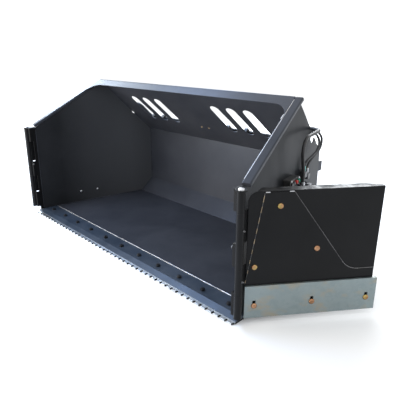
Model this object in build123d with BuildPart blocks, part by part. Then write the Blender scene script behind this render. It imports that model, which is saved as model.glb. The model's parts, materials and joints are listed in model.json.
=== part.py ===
"""High-volume snow bucket for a skid steer loader, with a hydraulic folding wing on each side.

Millimetres. X is the bucket's width (+X to the right, seen from the front), -Y is the open mouth,
+Z is up, and Z = 0 is the ground that the serrated edge and the skid runners stand on.
The right side is built first, and the left side is its mirror image.
"""
import os
from math import atan, cos, radians, sin, tan

from build123d import *

# ---------------------------------------------------------------- driving dimensions
MOUTH_Y = -643.0          # front edge of the side plates
HALF_MOUTH = 1219.0       # inner face of a side plate at the mouth (96 inch mouth)
HALF_REAR = 974.5         # inner face of a side plate at the back
DEPTH = 1181.0            # mouth to the inner face of the back
EDGE_T = 16.0             # base edge thickness
SERRATED_T = 12.0         # serrated edge thickness
FLOOR_Z = EDGE_T + SERRATED_T
SHEET = 6.0
SIDE_T = 8.0
BEND_H = 655.0            # where the vertical back ends and the upper back leans forward
TOP_DEPTH = 675.0         # the top corner, behind the mouth and above the floor
TOP_H = 1167.0
CHAMFER = 125.0           # 45 degree plate between floor and back
RIM_H0 = 779.0            # height of the sloping rim over the mouth line
POST_H = 770.0
EDGE_DEPTH = 168.0        # base edge, front to back
EDGE_HALF = 1231.0        # half length of the base edge
BOLT_DEPTH = 88.0         # edge bolts behind the mouth line
BOLT_PITCH = 220.0
BOLT_COUNT = 11
TOOTH_PITCH = 52.4
TOOTH_COUNT = 47
LIP_W = 75.0
TUBE_W = 52.0             # rim tube section
TUBE_H = 26.0

HINGE = (1256.0, MOUTH_Y - 18.0)      # right wing's hinge line
PIN_R = 12.7
BARREL_BORE_R = 12.78
BARREL_R = 22.25
FIXED_ZONES = ((31.0, 175.0), (331.5, 468.5), (653.5, POST_H))
WING_ZONES = ((176.0, 330.5), (469.5, 652.5))

WING_ANGLE = 54.0         # stored pose: wing swept back from straight out
WING_TIP = 805.0          # hinge line to the wing's far end
WING_TOP = 748.0
WING_FACE = 44.0          # wing's front face behind the hinge line
FACE_T = 6.0
WING_EDGE_H = 200.0
WING_EDGE_T = 12.7
WING_EDGE_LOW = 4.0

CYLINDER_BASE = (1132.0, MOUTH_Y + 820.0)
CYLINDER_Z = FLOOR_Z + 560.0
LUG_ALONG = 142.0
LUG_BEHIND = 92.0
PIVOT_R = 12.7
EYE_H = 36.0

HOSE_R = 11.0
HOSE_BEND = 88.0          # bend radius at the centre line
SMALL_HOSE_R = 8.0
THIN_BEND = 62.0

TAPER = atan((HALF_MOUTH - HALF_REAR) / DEPTH)
RIM_SLOPE = atan((TOP_H - RIM_H0) / (TOP_DEPTH / cos(TAPER)))
LEAN_RUN = DEPTH - TOP_DEPTH
LEAN_RISE = TOP_H - BEND_H

SIDE_PLANE = Plane(
    origin=(HALF_MOUTH, MOUTH_Y, FLOOR_Z),
    x_dir=(-sin(TAPER), cos(TAPER), 0),
    z_dir=(cos(TAPER), sin(TAPER), 0),
)


def wing_frame(height):
    """Plane square to the hinge line: x runs out along the wing, y behind it."""
    angle = radians(WING_ANGLE)
    start = (HINGE[0], HINGE[1], FLOOR_Z + height)
    return Plane(origin=start, x_dir=(cos(angle), sin(angle), 0), z_dir=(0, 0, 1))


def wing_face_plane(behind):
    """Upright plane along the wing: x runs out along it, y is up, extrusion comes to the front."""
    angle = radians(WING_ANGLE)
    start = (HINGE[0] - behind * sin(angle), HINGE[1] + behind * cos(angle), FLOOR_Z)
    return Plane(origin=start, x_dir=(cos(angle), sin(angle), 0), z_dir=(sin(angle), -cos(angle), 0))


def side_point(depth, height, off):
    """Point beside the right side plate, off millimetres outside its inner face."""
    along = depth / cos(TAPER)
    spot = SIDE_PLANE.from_local_coords((along, height, off))
    return (spot.X, spot.Y, spot.Z)


parts = {}
STRIP_HALF = 1300.0       # bent sheets are made wider than the bucket, then trimmed
TRIM_DEPTH = 1400.0
TRIM_LOW = -50.0
TRIM_TALL = 1500.0


def keep(name, shape):
    """Files a finished body under its name."""
    shape.label = name
    parts[name] = shape


def keep_pair(name, shape):
    """Files a right-hand body and its mirror image."""
    keep("right_" + name, shape)
    keep("left_" + name, mirror(shape, about=Plane.YZ))


def profile_strip(points, thickness):
    """Extrudes a bent sheet's profile across the bucket and trims it between the side plates."""
    with BuildPart() as strip:
        with BuildSketch(Plane.YZ):
            with BuildLine():
                Polyline(*[(MOUTH_Y + depth, FLOOR_Z + height) for depth, height in points])
                offset(amount=thickness, side=Side.RIGHT)
            make_face()
        extrude(amount=STRIP_HALF, both=True)
        with BuildSketch(Plane.XY.offset(TRIM_LOW)):
            with BuildLine():
                Polyline(
                    (-HALF_MOUTH, MOUTH_Y),
                    (HALF_MOUTH, MOUTH_Y),
                    (HALF_MOUTH - TRIM_DEPTH * tan(TAPER), MOUTH_Y + TRIM_DEPTH),
                    (-HALF_MOUTH + TRIM_DEPTH * tan(TAPER), MOUTH_Y + TRIM_DEPTH),
                    close=True,
                )
            make_face()
        extrude(amount=TRIM_TALL, mode=Mode.INTERSECT)
    return strip


# ---------------------------------------------------------------- bucket shell
FLOOR_LINE = ((EDGE_DEPTH, 0), (DEPTH - CHAMFER, 0), (DEPTH, CHAMFER), (DEPTH, BEND_H))
keep("floor_and_back", profile_strip(FLOOR_LINE, SHEET).part)

UPPER_PLANE = Plane(
    origin=(0, MOUTH_Y + DEPTH, FLOOR_Z + BEND_H),
    x_dir=(1, 0, 0),
    z_dir=(0, -LEAN_RISE, -LEAN_RUN),
)
SLOT_LONG = 318.0
SLOT_WIDE = 98.0
SLOT_UP = 362.0
SLOT_LEAN = 12.5
SLOT_SPOTS = (-740.0, -575.0, -410.0, 277.0, 442.0, 607.0)
SLOT_CUT = 40.0

with BuildPart() as upper_back:
    add(profile_strip(((DEPTH, BEND_H), (TOP_DEPTH, TOP_H)), SHEET).part)
    with BuildSketch(UPPER_PLANE):
        for spot in SLOT_SPOTS:
            with Locations((spot, SLOT_UP)):
                SlotOverall(SLOT_LONG, SLOT_WIDE, rotation=90 + SLOT_LEAN)
    extrude(amount=SLOT_CUT, both=True, mode=Mode.SUBTRACT)
keep("upper_back", upper_back.part)

# The lip lies in the plane of the two sloping rims.
LIP_PLANE = Plane(
    origin=(0, MOUTH_Y + TOP_DEPTH, FLOOR_Z + TOP_H),
    x_dir=(1, 0, 0),
    z_dir=(0, -(TOP_H - RIM_H0), TOP_DEPTH),
)
LIP_GAP = 0.7             # weld gap at the lip's ends
CORNER_HALF = HALF_MOUTH - TOP_DEPTH * tan(TAPER) - LIP_GAP
LIP_SPREAD = tan(TAPER) * cos(atan((TOP_H - RIM_H0) / TOP_DEPTH))
with BuildPart() as top_lip:
    with BuildSketch(LIP_PLANE):
        with BuildLine():
            Polyline(
                (-CORNER_HALF, 0),
                (CORNER_HALF, 0),
                (CORNER_HALF + LIP_W * LIP_SPREAD, -LIP_W),
                (-CORNER_HALF - LIP_W * LIP_SPREAD, -LIP_W),
                close=True,
            )
        make_face()
    extrude(amount=-SHEET)
keep("top_lip", top_lip.part)

GUSSET = 138.0
GUSSET_ARC_R = GUSSET + 12
with BuildPart() as gusset:
    with BuildSketch(LIP_PLANE):
        corner_x = CORNER_HALF + LIP_W * LIP_SPREAD
        foot_x = corner_x + GUSSET * LIP_SPREAD
        with BuildLine():
            Line((corner_x, -LIP_W), (corner_x - GUSSET, -LIP_W))
            RadiusArc((corner_x - GUSSET, -LIP_W), (foot_x, -LIP_W - GUSSET), GUSSET_ARC_R)
            Line((foot_x, -LIP_W - GUSSET), (corner_x, -LIP_W))
        make_face()
    extrude(amount=-SHEET)
keep_pair("corner_gusset", gusset.part)

# ---------------------------------------------------------------- side plates and rims
POST_REAR = 42.0
RIM_U = TOP_DEPTH / cos(TAPER)
REAR_U = (DEPTH + SHEET) / cos(TAPER)
NOTCH_U = 1036.0
NOTCH_R = 36.0
NOTCH_H = 858.0
NOTCH_TALL = 200.0        # the notch is open above
POST_GAP = 0.2            # weld gap between the post and the side plate
SIDE_BREAK_U = 727.0      # the side plate's top edge turns down here
SIDE_REAR_H = 734.0
EDGE_GAP = 12.0           # the side plate steps down behind the base edge


def rim_height(along, below):
    """Height of a line parallel to the rim, set below it by a square distance."""
    return RIM_H0 + along * tan(RIM_SLOPE) - below / cos(RIM_SLOPE)


with BuildPart() as side_plate:
    with BuildSketch(SIDE_PLANE):
        with BuildLine():
            Polyline(
                (POST_REAR / cos(TAPER) + POST_GAP, 0),
                (POST_REAR / cos(TAPER) + POST_GAP, rim_height(POST_REAR, TUBE_H)),
                (SIDE_BREAK_U, rim_height(SIDE_BREAK_U, TUBE_H)),
                (REAR_U, SIDE_REAR_H),
                (REAR_U, CHAMFER + 3),
                (REAR_U - CHAMFER - 3, -EDGE_T),
                (EDGE_DEPTH / cos(TAPER) + EDGE_GAP, -EDGE_T),
                (EDGE_DEPTH / cos(TAPER) + EDGE_GAP, 0),
                close=True,
            )
        make_face()
        with Locations((NOTCH_U, NOTCH_H)):
            Circle(NOTCH_R, mode=Mode.SUBTRACT)
        with Locations((NOTCH_U, NOTCH_H + NOTCH_TALL / 2)):
            Rectangle(2 * NOTCH_R, NOTCH_TALL, mode=Mode.SUBTRACT)
    extrude(amount=SIDE_T)
keep_pair("side_plate", side_plate.part)

# Rim tube: square to the side plate's top edge, from its inner face outward.
RIM_START = 40.5
TUBE_CORNER_R = 8.0
rim_axis = SIDE_PLANE.x_dir * cos(RIM_SLOPE) + Vector(0, 0, 1) * sin(RIM_SLOPE)
rim_foot = SIDE_PLANE.from_local_coords((RIM_START, rim_height(RIM_START, TUBE_H / 2), TUBE_W / 2))
RIM_PLANE = Plane(origin=rim_foot, x_dir=SIDE_PLANE.z_dir, z_dir=rim_axis)
RIM_OVERHANG = 12.0
RIM_LONG = (RIM_U - RIM_START) / cos(RIM_SLOPE) + RIM_OVERHANG
with BuildPart() as rim_tube:
    with BuildSketch(RIM_PLANE):
        RectangleRounded(TUBE_W, TUBE_H, TUBE_CORNER_R)
    extrude(amount=RIM_LONG)
keep_pair("rim_tube", rim_tube.part)

# ---------------------------------------------------------------- hinge posts
CAP_T = 8.0
CAP_FRONT = 42.0
POST_X = 1213.0
POST_T = 16.0
POST_FRONT = 14.0         # the post's front face, behind the mouth line
WEB_FRONT = 16.0          # the knuckles' webs stand this far in front of the mouth
WEB_REAR = 32.0
WEB_T = 12.5
WEB_X = 1205.0
WEB_OUT = 1256.0
INNER_T = 12.0
with BuildPart() as post:
    with BuildSketch(Plane.XY.offset(FLOOR_Z)):
        with Locations((POST_X, MOUTH_Y + (POST_FRONT + POST_REAR) / 2)):
            Rectangle(POST_T, POST_REAR - POST_FRONT)
    extrude(amount=POST_H)
    for low, high in FIXED_ZONES:
        with BuildSketch(Plane.XY.offset(FLOOR_Z + low)):
            with Locations((WEB_X + INNER_T / 2, MOUTH_Y + (WEB_REAR - WEB_FRONT) / 2)):
                Rectangle(INNER_T, WEB_REAR + WEB_FRONT)
            with Locations(((WEB_X + WEB_OUT) / 2, MOUTH_Y - WEB_FRONT + WEB_T / 2)):
                Rectangle(WEB_OUT - WEB_X, WEB_T)
            with Locations(HINGE):
                Circle(BARREL_R)
                Circle(BARREL_BORE_R, mode=Mode.SUBTRACT)
        extrude(amount=high - low)
    with BuildSketch(Plane.XY.offset(FLOOR_Z + POST_H)):
        with BuildLine():
            Polyline(
                (1203, MOUTH_Y - WEB_FRONT),
                (1238, MOUTH_Y - CAP_FRONT),
                (1264, MOUTH_Y - CAP_FRONT),
                (1280, MOUTH_Y - 28),
                (1280, MOUTH_Y + 2),
                (1236, MOUTH_Y + POST_REAR),
                (1203, MOUTH_Y + POST_REAR),
                close=True,
            )
        make_face()
    extrude(amount=CAP_T)
    with BuildSketch(Plane.XY.offset(FLOOR_Z)):
        with Locations(HINGE):
            Circle(BARREL_BORE_R)
    extrude(amount=POST_H + CAP_T, mode=Mode.SUBTRACT)
keep_pair("hinge_post", post.part)


PIN_HEAD_R = 17.0
PIN_HEAD_T = 9.0
PIN_HEAD_ROUND = 3.0
PIN_FOOT = FIXED_ZONES[0][0] + 2
with BuildPart() as hinge_pin:
    with BuildSketch(Plane.XY.offset(FLOOR_Z + PIN_FOOT)):
        with Locations(HINGE):
            Circle(PIN_R)
    extrude(amount=POST_H + CAP_T - PIN_FOOT)
    with BuildSketch(Plane.XY.offset(FLOOR_Z + POST_H + CAP_T)):
        with Locations(HINGE):
            Circle(PIN_HEAD_R)
    extrude(amount=PIN_HEAD_T)
    fillet(hinge_pin.faces().sort_by(Axis.Z)[-1].edges(), PIN_HEAD_ROUND)
keep_pair("hinge_pin", hinge_pin.part)

# ---------------------------------------------------------------- base edge and serrated edge
BOLT_XS = [BOLT_PITCH * (i - (BOLT_COUNT - 1) / 2) for i in range(BOLT_COUNT)]
BOLT_R = 7.9
HEAD_R = 14.0
HEAD_LOW = 1.0
HEAD_HIGH = 8.0
BOLT_GAP = 0.4
NUT_FLAT_R = 13.6
NUT_T = 14.0
EDGE_BEVEL = 44.0
EDGE_NOSE = 3.0           # blunt front of the bevel
HEAD_CROWN = 1.2          # the head sits inside its countersink by this much
BOLT_ABOVE = NUT_T - 4    # how far the shank rises above the floor
with BuildPart() as base_edge:
    with BuildSketch(Plane.YZ):
        with BuildLine():
            Polyline(
                (MOUTH_Y, SERRATED_T),
                (MOUTH_Y, SERRATED_T + EDGE_NOSE),
                (MOUTH_Y + EDGE_BEVEL, FLOOR_Z),
                (MOUTH_Y + EDGE_DEPTH, FLOOR_Z),
                (MOUTH_Y + EDGE_DEPTH, SERRATED_T),
                close=True,
            )
        make_face()
    extrude(amount=EDGE_HALF, both=True)
    for bolt_x in BOLT_XS:
        with Locations((bolt_x, MOUTH_Y + BOLT_DEPTH, FLOOR_Z)):
            Hole(BOLT_R + BOLT_GAP, depth=FLOOR_Z)
keep("base_edge", base_edge.part)

TIP_OUT = 28.0
TOOTH_DEEP = 20.0
GAP_W = 34.0              # gap between teeth, at its root
GAP_ANGLE = 72.0
SERRATED_REAR = 130.0
with BuildPart() as serrated_edge:
    with BuildSketch(Plane.XY):
        with Locations((0, MOUTH_Y + (SERRATED_REAR - TIP_OUT) / 2)):
            Rectangle(2 * EDGE_HALF, SERRATED_REAR + TIP_OUT)
        for i in range(TOOTH_COUNT + 1):
            with Locations((TOOTH_PITCH * (i - TOOTH_COUNT / 2), MOUTH_Y - TIP_OUT)):
                Trapezoid(GAP_W, 2 * TOOTH_DEEP, GAP_ANGLE, mode=Mode.SUBTRACT)
        for bolt_x in BOLT_XS:
            with Locations((bolt_x, MOUTH_Y + BOLT_DEPTH)):
                Circle(BOLT_R + BOLT_GAP, mode=Mode.SUBTRACT)
    extrude(amount=SERRATED_T)
    for bolt_x in BOLT_XS:
        with Locations((bolt_x, MOUTH_Y + BOLT_DEPTH, HEAD_HIGH / 2)):
            Cone(HEAD_R + BOLT_GAP, BOLT_R + BOLT_GAP, HEAD_HIGH, mode=Mode.SUBTRACT)
keep("serrated_edge", serrated_edge.part)

with BuildPart() as edge_bolts:
    for bolt_x in BOLT_XS:
        with Locations((bolt_x, MOUTH_Y + BOLT_DEPTH, (HEAD_LOW + HEAD_HIGH) / 2)):
            Cone(HEAD_R - HEAD_CROWN, BOLT_R, HEAD_HIGH - HEAD_LOW)
        with Locations((bolt_x, MOUTH_Y + BOLT_DEPTH, HEAD_HIGH)):
            Cylinder(BOLT_R, FLOOR_Z + BOLT_ABOVE, align=(Align.CENTER, Align.CENTER, Align.MIN))
keep("edge_bolts", edge_bolts.part)

with BuildPart() as edge_nuts:
    with BuildSketch(Plane.XY.offset(FLOOR_Z)):
        for bolt_x in BOLT_XS:
            with Locations((bolt_x, MOUTH_Y + BOLT_DEPTH)):
                RegularPolygon(NUT_FLAT_R, 6, major_radius=False)
                Circle(BOLT_R + BOLT_GAP, mode=Mode.SUBTRACT)
    extrude(amount=NUT_T)
keep("edge_nuts", edge_nuts.part)

# ---------------------------------------------------------------- skid runners
RUNNER_FRONT = 260.0
RUNNER_REAR = DEPTH - CHAMFER - 20
RUNNER_X = 780.0
RUNNER_HALF = 38.0
RUNNER_RAMP = 30.0
with BuildPart() as runner:
    with BuildSketch(Plane.YZ.offset(RUNNER_X)):
        with BuildLine():
            Polyline(
                (MOUTH_Y + RUNNER_FRONT, FLOOR_Z - SHEET),
                (MOUTH_Y + RUNNER_REAR, FLOOR_Z - SHEET),
                (MOUTH_Y + RUNNER_REAR - RUNNER_RAMP, 0),
                (MOUTH_Y + RUNNER_FRONT + RUNNER_RAMP, 0),
                close=True,
            )
        make_face()
    extrude(amount=RUNNER_HALF, both=True)
keep_pair("skid_runner", runner.part)

# ---------------------------------------------------------------- back frame and quick attach
ATTACH_HALF = 565.0
ATTACH_FACE = 1268.0      # face the loader's plate lies against, behind the mouth
ATTACH_REAR = 1328.0
ATTACH_T = 10.0
PAD_TOP = 490.0           # the flat pad ends just under the hook
HOOK_TOP = 560.0
PIN_SLOT_X = 463.5        # lock pin slots, 927 mm apart
PIN_SLOT_LONG = 62.0
PIN_SLOT_WIDE = 28.0
LEDGE_H = 70.0
EAR_T = 12.0


def depth_points(pairs):
    """Turns (depth behind the mouth, height over the floor) pairs into Y, Z points."""
    return [(MOUTH_Y + depth, FLOOR_Z + height) for depth, height in pairs]


with BuildPart() as attach_plate:
    with BuildSketch(Plane.YZ):
        with BuildLine():
            Polyline(
                *depth_points(
                    (
                        (ATTACH_FACE - ATTACH_T, LEDGE_H),
                        (ATTACH_FACE - ATTACH_T, HOOK_TOP),
                        (ATTACH_FACE + 2, HOOK_TOP),
                        (ATTACH_REAR, 502),
                        (ATTACH_REAR - 7, 495),
                        (ATTACH_FACE - 1, 546),
                        (ATTACH_FACE - 1, PAD_TOP),
                        (ATTACH_FACE, PAD_TOP),
                        (ATTACH_FACE, LEDGE_H + ATTACH_T),
                        (ATTACH_REAR, LEDGE_H + ATTACH_T),
                        (ATTACH_REAR, LEDGE_H),
                    )
                ),
                close=True,
            )
        make_face()
    extrude(amount=ATTACH_HALF, both=True)
    with BuildSketch(Plane.XY.offset(FLOOR_Z + LEDGE_H)):
        for side in (-1, 1):
            with Locations((side * PIN_SLOT_X, MOUTH_Y + (ATTACH_FACE + ATTACH_REAR) / 2)):
                SlotOverall(PIN_SLOT_LONG, PIN_SLOT_WIDE)
    extrude(amount=ATTACH_T, mode=Mode.SUBTRACT)
keep("attach_plate", attach_plate.part)

BACK_OUT = DEPTH + SHEET
with BuildPart() as attach_ear:
    with BuildSketch(Plane.YZ.offset(ATTACH_HALF)):
        with BuildLine():
            Polyline(
                *depth_points(
                    (
                        (BACK_OUT, 130),
                        (BACK_OUT, HOOK_TOP),
                        (ATTACH_FACE + 8, HOOK_TOP),
                        (ATTACH_REAR, 508),
                        (ATTACH_REAR, 470),
                        (ATTACH_FACE + 6, 420),
                        (ATTACH_FACE + 6, 150),
                        (ATTACH_REAR, 100),
                        (ATTACH_REAR, LEDGE_H - 8),
                        (ATTACH_FACE - 20, LEDGE_H - 8),
                    )
                ),
                close=True,
            )
        make_face()
    extrude(amount=EAR_T)
keep_pair("attach_ear", attach_ear.part)

BEAM_T = 75.0
BEAM_LOW = 572.0
BEAM_HALF = 965.0
BEAM_WALL = 6.0
BEAM_CORNER_R = 10.0
BEAM_END_T = 5.0
BEAM_SPOT = (MOUTH_Y + BACK_OUT + BEAM_T / 2, FLOOR_Z + BEAM_LOW + BEAM_T / 2)
with BuildPart() as back_beam:
    with BuildSketch(Plane.YZ):
        with Locations(BEAM_SPOT):
            RectangleRounded(BEAM_T, BEAM_T, BEAM_CORNER_R)
            bore = BEAM_T - 2 * BEAM_WALL
            RectangleRounded(bore, bore, BEAM_CORNER_R - BEAM_WALL, mode=Mode.SUBTRACT)
    extrude(amount=BEAM_HALF, both=True)
    for side in (-1, 1):
        with BuildSketch(Plane.YZ.offset(side * BEAM_HALF)):
            with Locations(BEAM_SPOT):
                RectangleRounded(BEAM_T, BEAM_T, BEAM_CORNER_R)
        extrude(amount=-BEAM_END_T * side)
keep("back_beam", back_beam.part)

RIB_X = 115.0
RIB_LOW = BEAM_LOW + BEAM_T
RIB_T = 8.0
RIB_HIGH = 1110.0
RIB_SHOULDER = 1080.0
RIB_OUT = 34.0
RIB_FOOT_OUT = 19.0
WELD_GAP = 0.2


def lean_depth(height):
    """Depth of the upper back's outer face at a height."""
    sheet_across = SHEET / sin(atan(LEAN_RISE / LEAN_RUN))
    return DEPTH - (height - BEND_H) * LEAN_RUN / LEAN_RISE + sheet_across + WELD_GAP


with BuildPart() as back_rib:
    with BuildSketch(Plane.YZ.offset(RIB_X)):
        with BuildLine():
            Polyline(
                *depth_points(
                    (
                        (lean_depth(RIB_LOW), RIB_LOW),
                        (BACK_OUT + RIB_FOOT_OUT, RIB_LOW),
                        (lean_depth(RIB_SHOULDER) + RIB_OUT, RIB_SHOULDER),
                        (lean_depth(RIB_HIGH), RIB_HIGH),
                    )
                ),
                close=True,
            )
        make_face()
    extrude(amount=RIB_T)
keep_pair("back_rib", back_rib.part)

# ---------------------------------------------------------------- wings
WING_LEFT = 54.0          # wing sheet's hinge side edge, out from the hinge line
SKIN_B = WING_FACE + FACE_T
SKIN_REAR = SKIN_B + SHEET
SKIN_LOW = 20.0
CORNER_R = 58.0
FLANGE_W = 55.0
FACE_LEFT = 49.0
WING_BOLTS = ((225.0, 664.0), (446.0, 406.0), (97.0, 315.0))
EDGE_BOLTS = ((100.0, 82.0), (436.0, 82.0), (760.0, 82.0))
WING_HOLE_R = 8.3
CARRIAGE_R = 17.0
CARRIAGE_T = 7.0
EDGE_SLOT_LONG = 46.0
EDGE_SLOT_WIDE = 19.0
EDGE_SLOT_H = 91.0
EDGE_NEAR = 45.0          # the cutting edge runs from here ...
EDGE_FAR = 817.0          # ... to here, out from the hinge line
DRILL_REACH = 100.0
FLANGE_EASE = 90.0        # slanting end of the top flange
PLATE_FAR = WING_TIP - 11
PLATE_TOP = 740.0
PLATE_SHOULDER = 262.0
PLATE_BEND_R = 115.0


def wing_drill(spots):
    """Round cutters that reach right through the wing."""
    with BuildPart() as cutters:
        with BuildSketch(wing_face_plane(0)):
            with Locations(*spots):
                Circle(WING_HOLE_R)
        extrude(amount=-DRILL_REACH)
    return cutters.part


with BuildPart() as wing_skin:
    with BuildSketch(wing_face_plane(SKIN_B)):
        with BuildLine():
            FilletPolyline(
                (WING_LEFT, SKIN_LOW),
                (WING_LEFT, WING_TOP),
                (WING_TIP, WING_TOP),
                (WING_TIP - 10, SKIN_LOW),
                radius=(0, CORNER_R, 0, 0),
                close=True,
            )
        make_face()
    extrude(amount=-SHEET)
    with BuildSketch(wing_frame(WING_TOP - SHEET)):
        with BuildLine():
            Polyline(
                (WING_LEFT + CORNER_R, SKIN_B + SHEET / 2),
                (WING_TIP, SKIN_B + SHEET / 2),
                (WING_TIP, SKIN_REAR + 22),
                (WING_TIP - FLANGE_EASE, SKIN_REAR + FLANGE_W),
                (WING_LEFT + CORNER_R + 30, SKIN_REAR + FLANGE_W),
                (WING_LEFT + CORNER_R, SKIN_REAR + 20),
                close=True,
            )
        make_face()
    extrude(amount=SHEET)
    add(wing_drill(WING_BOLTS + EDGE_BOLTS), mode=Mode.SUBTRACT)
keep_pair("wing_skin", wing_skin.part)

with BuildPart() as wing_face:
    with BuildSketch(wing_face_plane(WING_FACE)):
        with BuildLine():
            FilletPolyline(
                (FACE_LEFT, SKIN_LOW),
                (FACE_LEFT, 204),
                (142, PLATE_TOP),
                (298, PLATE_TOP),
                (640, PLATE_SHOULDER),
                (PLATE_FAR, PLATE_SHOULDER),
                (PLATE_FAR, SKIN_LOW),
                radius=(0, 0, 0, 0, PLATE_BEND_R, 0, 0),
                close=True,
            )
        make_face()
    extrude(amount=-FACE_T)
    add(wing_drill(WING_BOLTS + EDGE_BOLTS), mode=Mode.SUBTRACT)
keep_pair("wing_face_plate", wing_face.part)

LEAF_T = 8.0
LEAF_NEAR = 60.0
LEAF_FAR = 118.0
with BuildPart() as wing_hinge:
    for low, high in WING_ZONES:
        with BuildSketch(wing_frame(low)):
            Circle(BARREL_R)
            with BuildLine():
                Polyline(
                    (0, BARREL_R),
                    (LEAF_NEAR - 6, SKIN_REAR + LEAF_T),
                    (LEAF_FAR, SKIN_REAR + LEAF_T),
                    (LEAF_FAR, SKIN_REAR),
                    (LEAF_NEAR - 7, SKIN_REAR),
                    (17, 11),
                    close=True,
                )
            make_face()
            Circle(BARREL_BORE_R, mode=Mode.SUBTRACT)
        extrude(amount=high - low)
    with BuildSketch(wing_face_plane(SKIN_REAR)):
        with Locations(((LEAF_NEAR + LEAF_FAR) / 2, (WING_ZONES[0][0] + WING_ZONES[1][1]) / 2)):
            Rectangle(LEAF_FAR - LEAF_NEAR, WING_ZONES[1][1] - WING_ZONES[0][0])
    extrude(amount=-LEAF_T)
    add(wing_drill(WING_BOLTS[2:]), mode=Mode.SUBTRACT)
keep_pair("wing_hinge", wing_hinge.part)

with BuildPart() as wing_edge:
    with BuildSketch(wing_face_plane(WING_FACE - WING_EDGE_T)):
        with Locations(((EDGE_NEAR + EDGE_FAR) / 2, WING_EDGE_LOW + WING_EDGE_H / 2)):
            Rectangle(EDGE_FAR - EDGE_NEAR, WING_EDGE_H)
        for along, height in EDGE_BOLTS:
            with Locations((along, EDGE_SLOT_H)):
                Rectangle(EDGE_SLOT_WIDE, EDGE_SLOT_LONG, mode=Mode.SUBTRACT)
    extrude(amount=-WING_EDGE_T)
keep_pair("wing_cutting_edge", wing_edge.part)

WING_NUT_T = 13.0
SHANK_PAST = 5.0          # the shank stands past its nut by this much
HEAD_FLAT = 0.3
WING_OUTWARD = Axis((0, 0, 0), wing_face_plane(0).z_dir)
with BuildPart() as wing_bolts:
    for spots, front in ((WING_BOLTS, WING_FACE), (EDGE_BOLTS, WING_FACE - WING_EDGE_T)):
        with BuildSketch(wing_face_plane(front)):
            with Locations(*spots):
                Circle(CARRIAGE_R)
        extrude(amount=CARRIAGE_T)
        fillet(edges(Select.LAST).group_by(WING_OUTWARD)[-1], CARRIAGE_T - HEAD_FLAT)
        with BuildSketch(wing_face_plane(front)):
            with Locations(*spots):
                Circle(BOLT_R)
        extrude(amount=-(SKIN_REAR + LEAF_T + WING_NUT_T + SHANK_PAST - front))
keep_pair("wing_bolts", wing_bolts.part)

with BuildPart() as wing_nuts:
    for spots, seat in ((WING_BOLTS[:2] + EDGE_BOLTS, SKIN_REAR), (WING_BOLTS[2:], SKIN_REAR + LEAF_T)):
        with BuildSketch(wing_face_plane(seat)):
            with Locations(*spots):
                RegularPolygon(NUT_FLAT_R, 6, major_radius=False)
                Circle(BOLT_R + BOLT_GAP, mode=Mode.SUBTRACT)
        extrude(amount=-WING_NUT_T)
keep_pair("wing_nuts", wing_nuts.part)

# ---------------------------------------------------------------- wing cylinder
EYE_R = 25.0
EAR_GAP = 2.0
EAR_PLATE = 12.0
EAR_R = 27.0
EAR_BOSS_T = 8.0
CYL_LOW = CYLINDER_Z - FLOOR_Z - EYE_H / 2
lug_angle = radians(WING_ANGLE)
LUG_SPOT = (
    HINGE[0] + LUG_ALONG * cos(lug_angle) - LUG_BEHIND * sin(lug_angle),
    HINGE[1] + LUG_ALONG * sin(lug_angle) + LUG_BEHIND * cos(lug_angle),
)
CYL_RUN = Vector(LUG_SPOT[0] - CYLINDER_BASE[0], LUG_SPOT[1] - CYLINDER_BASE[1], 0)
CYL_LONG = CYL_RUN.length
CYL_PLANE = Plane(
    origin=(CYLINDER_BASE[0], CYLINDER_BASE[1], CYLINDER_Z),
    x_dir=(0, 0, 1),
    z_dir=CYL_RUN,
)
TUBE_R = 31.75
TUBE_BORE_R = 25.6
BOSS_H = 13.0
BOSS_W = 24.0
BASE_PORT = 100.0
ROD_OUT = 150.0           # rod showing in the stored pose, up to the eye's centre
TUBE_END = CYL_LONG - ROD_OUT
EYE_SINK = 4.0            # tube and rod reach this far into their eyes
TUBE_CAP = 20.0
GLAND_LONG = 42.0
GLAND_R = 37.0
ROD_R = 15.9
GLAND_BORE_R = 15.97
EYE_CLEAR = 18.0          # tube cut away around the eye, above and below it
EAR_HEIGHTS = (CYL_LOW - EAR_GAP - EAR_PLATE, CYL_LOW + EYE_H + EAR_GAP)

with BuildPart() as wing_lug:
    for height in EAR_HEIGHTS:
        with BuildSketch(wing_frame(height)):
            with Locations((LUG_ALONG, LUG_BEHIND)):
                Circle(EAR_R)
            with Locations((LUG_ALONG + 12, SKIN_REAR + 10)):
                Rectangle(66, 20)
            make_hull()
            with Locations((LUG_ALONG, SKIN_REAR - 50)):
                Rectangle(200, 100, mode=Mode.SUBTRACT)
        extrude(amount=EAR_PLATE)
    for height, reach in ((EAR_HEIGHTS[0], -EAR_BOSS_T), (EAR_HEIGHTS[1] + EAR_PLATE, EAR_BOSS_T)):
        with BuildSketch(wing_frame(height)):
            with Locations((LUG_ALONG, LUG_BEHIND)):
                Circle(PIVOT_R + 5)
        extrude(amount=reach)
keep_pair("wing_lug", wing_lug.part)

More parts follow.
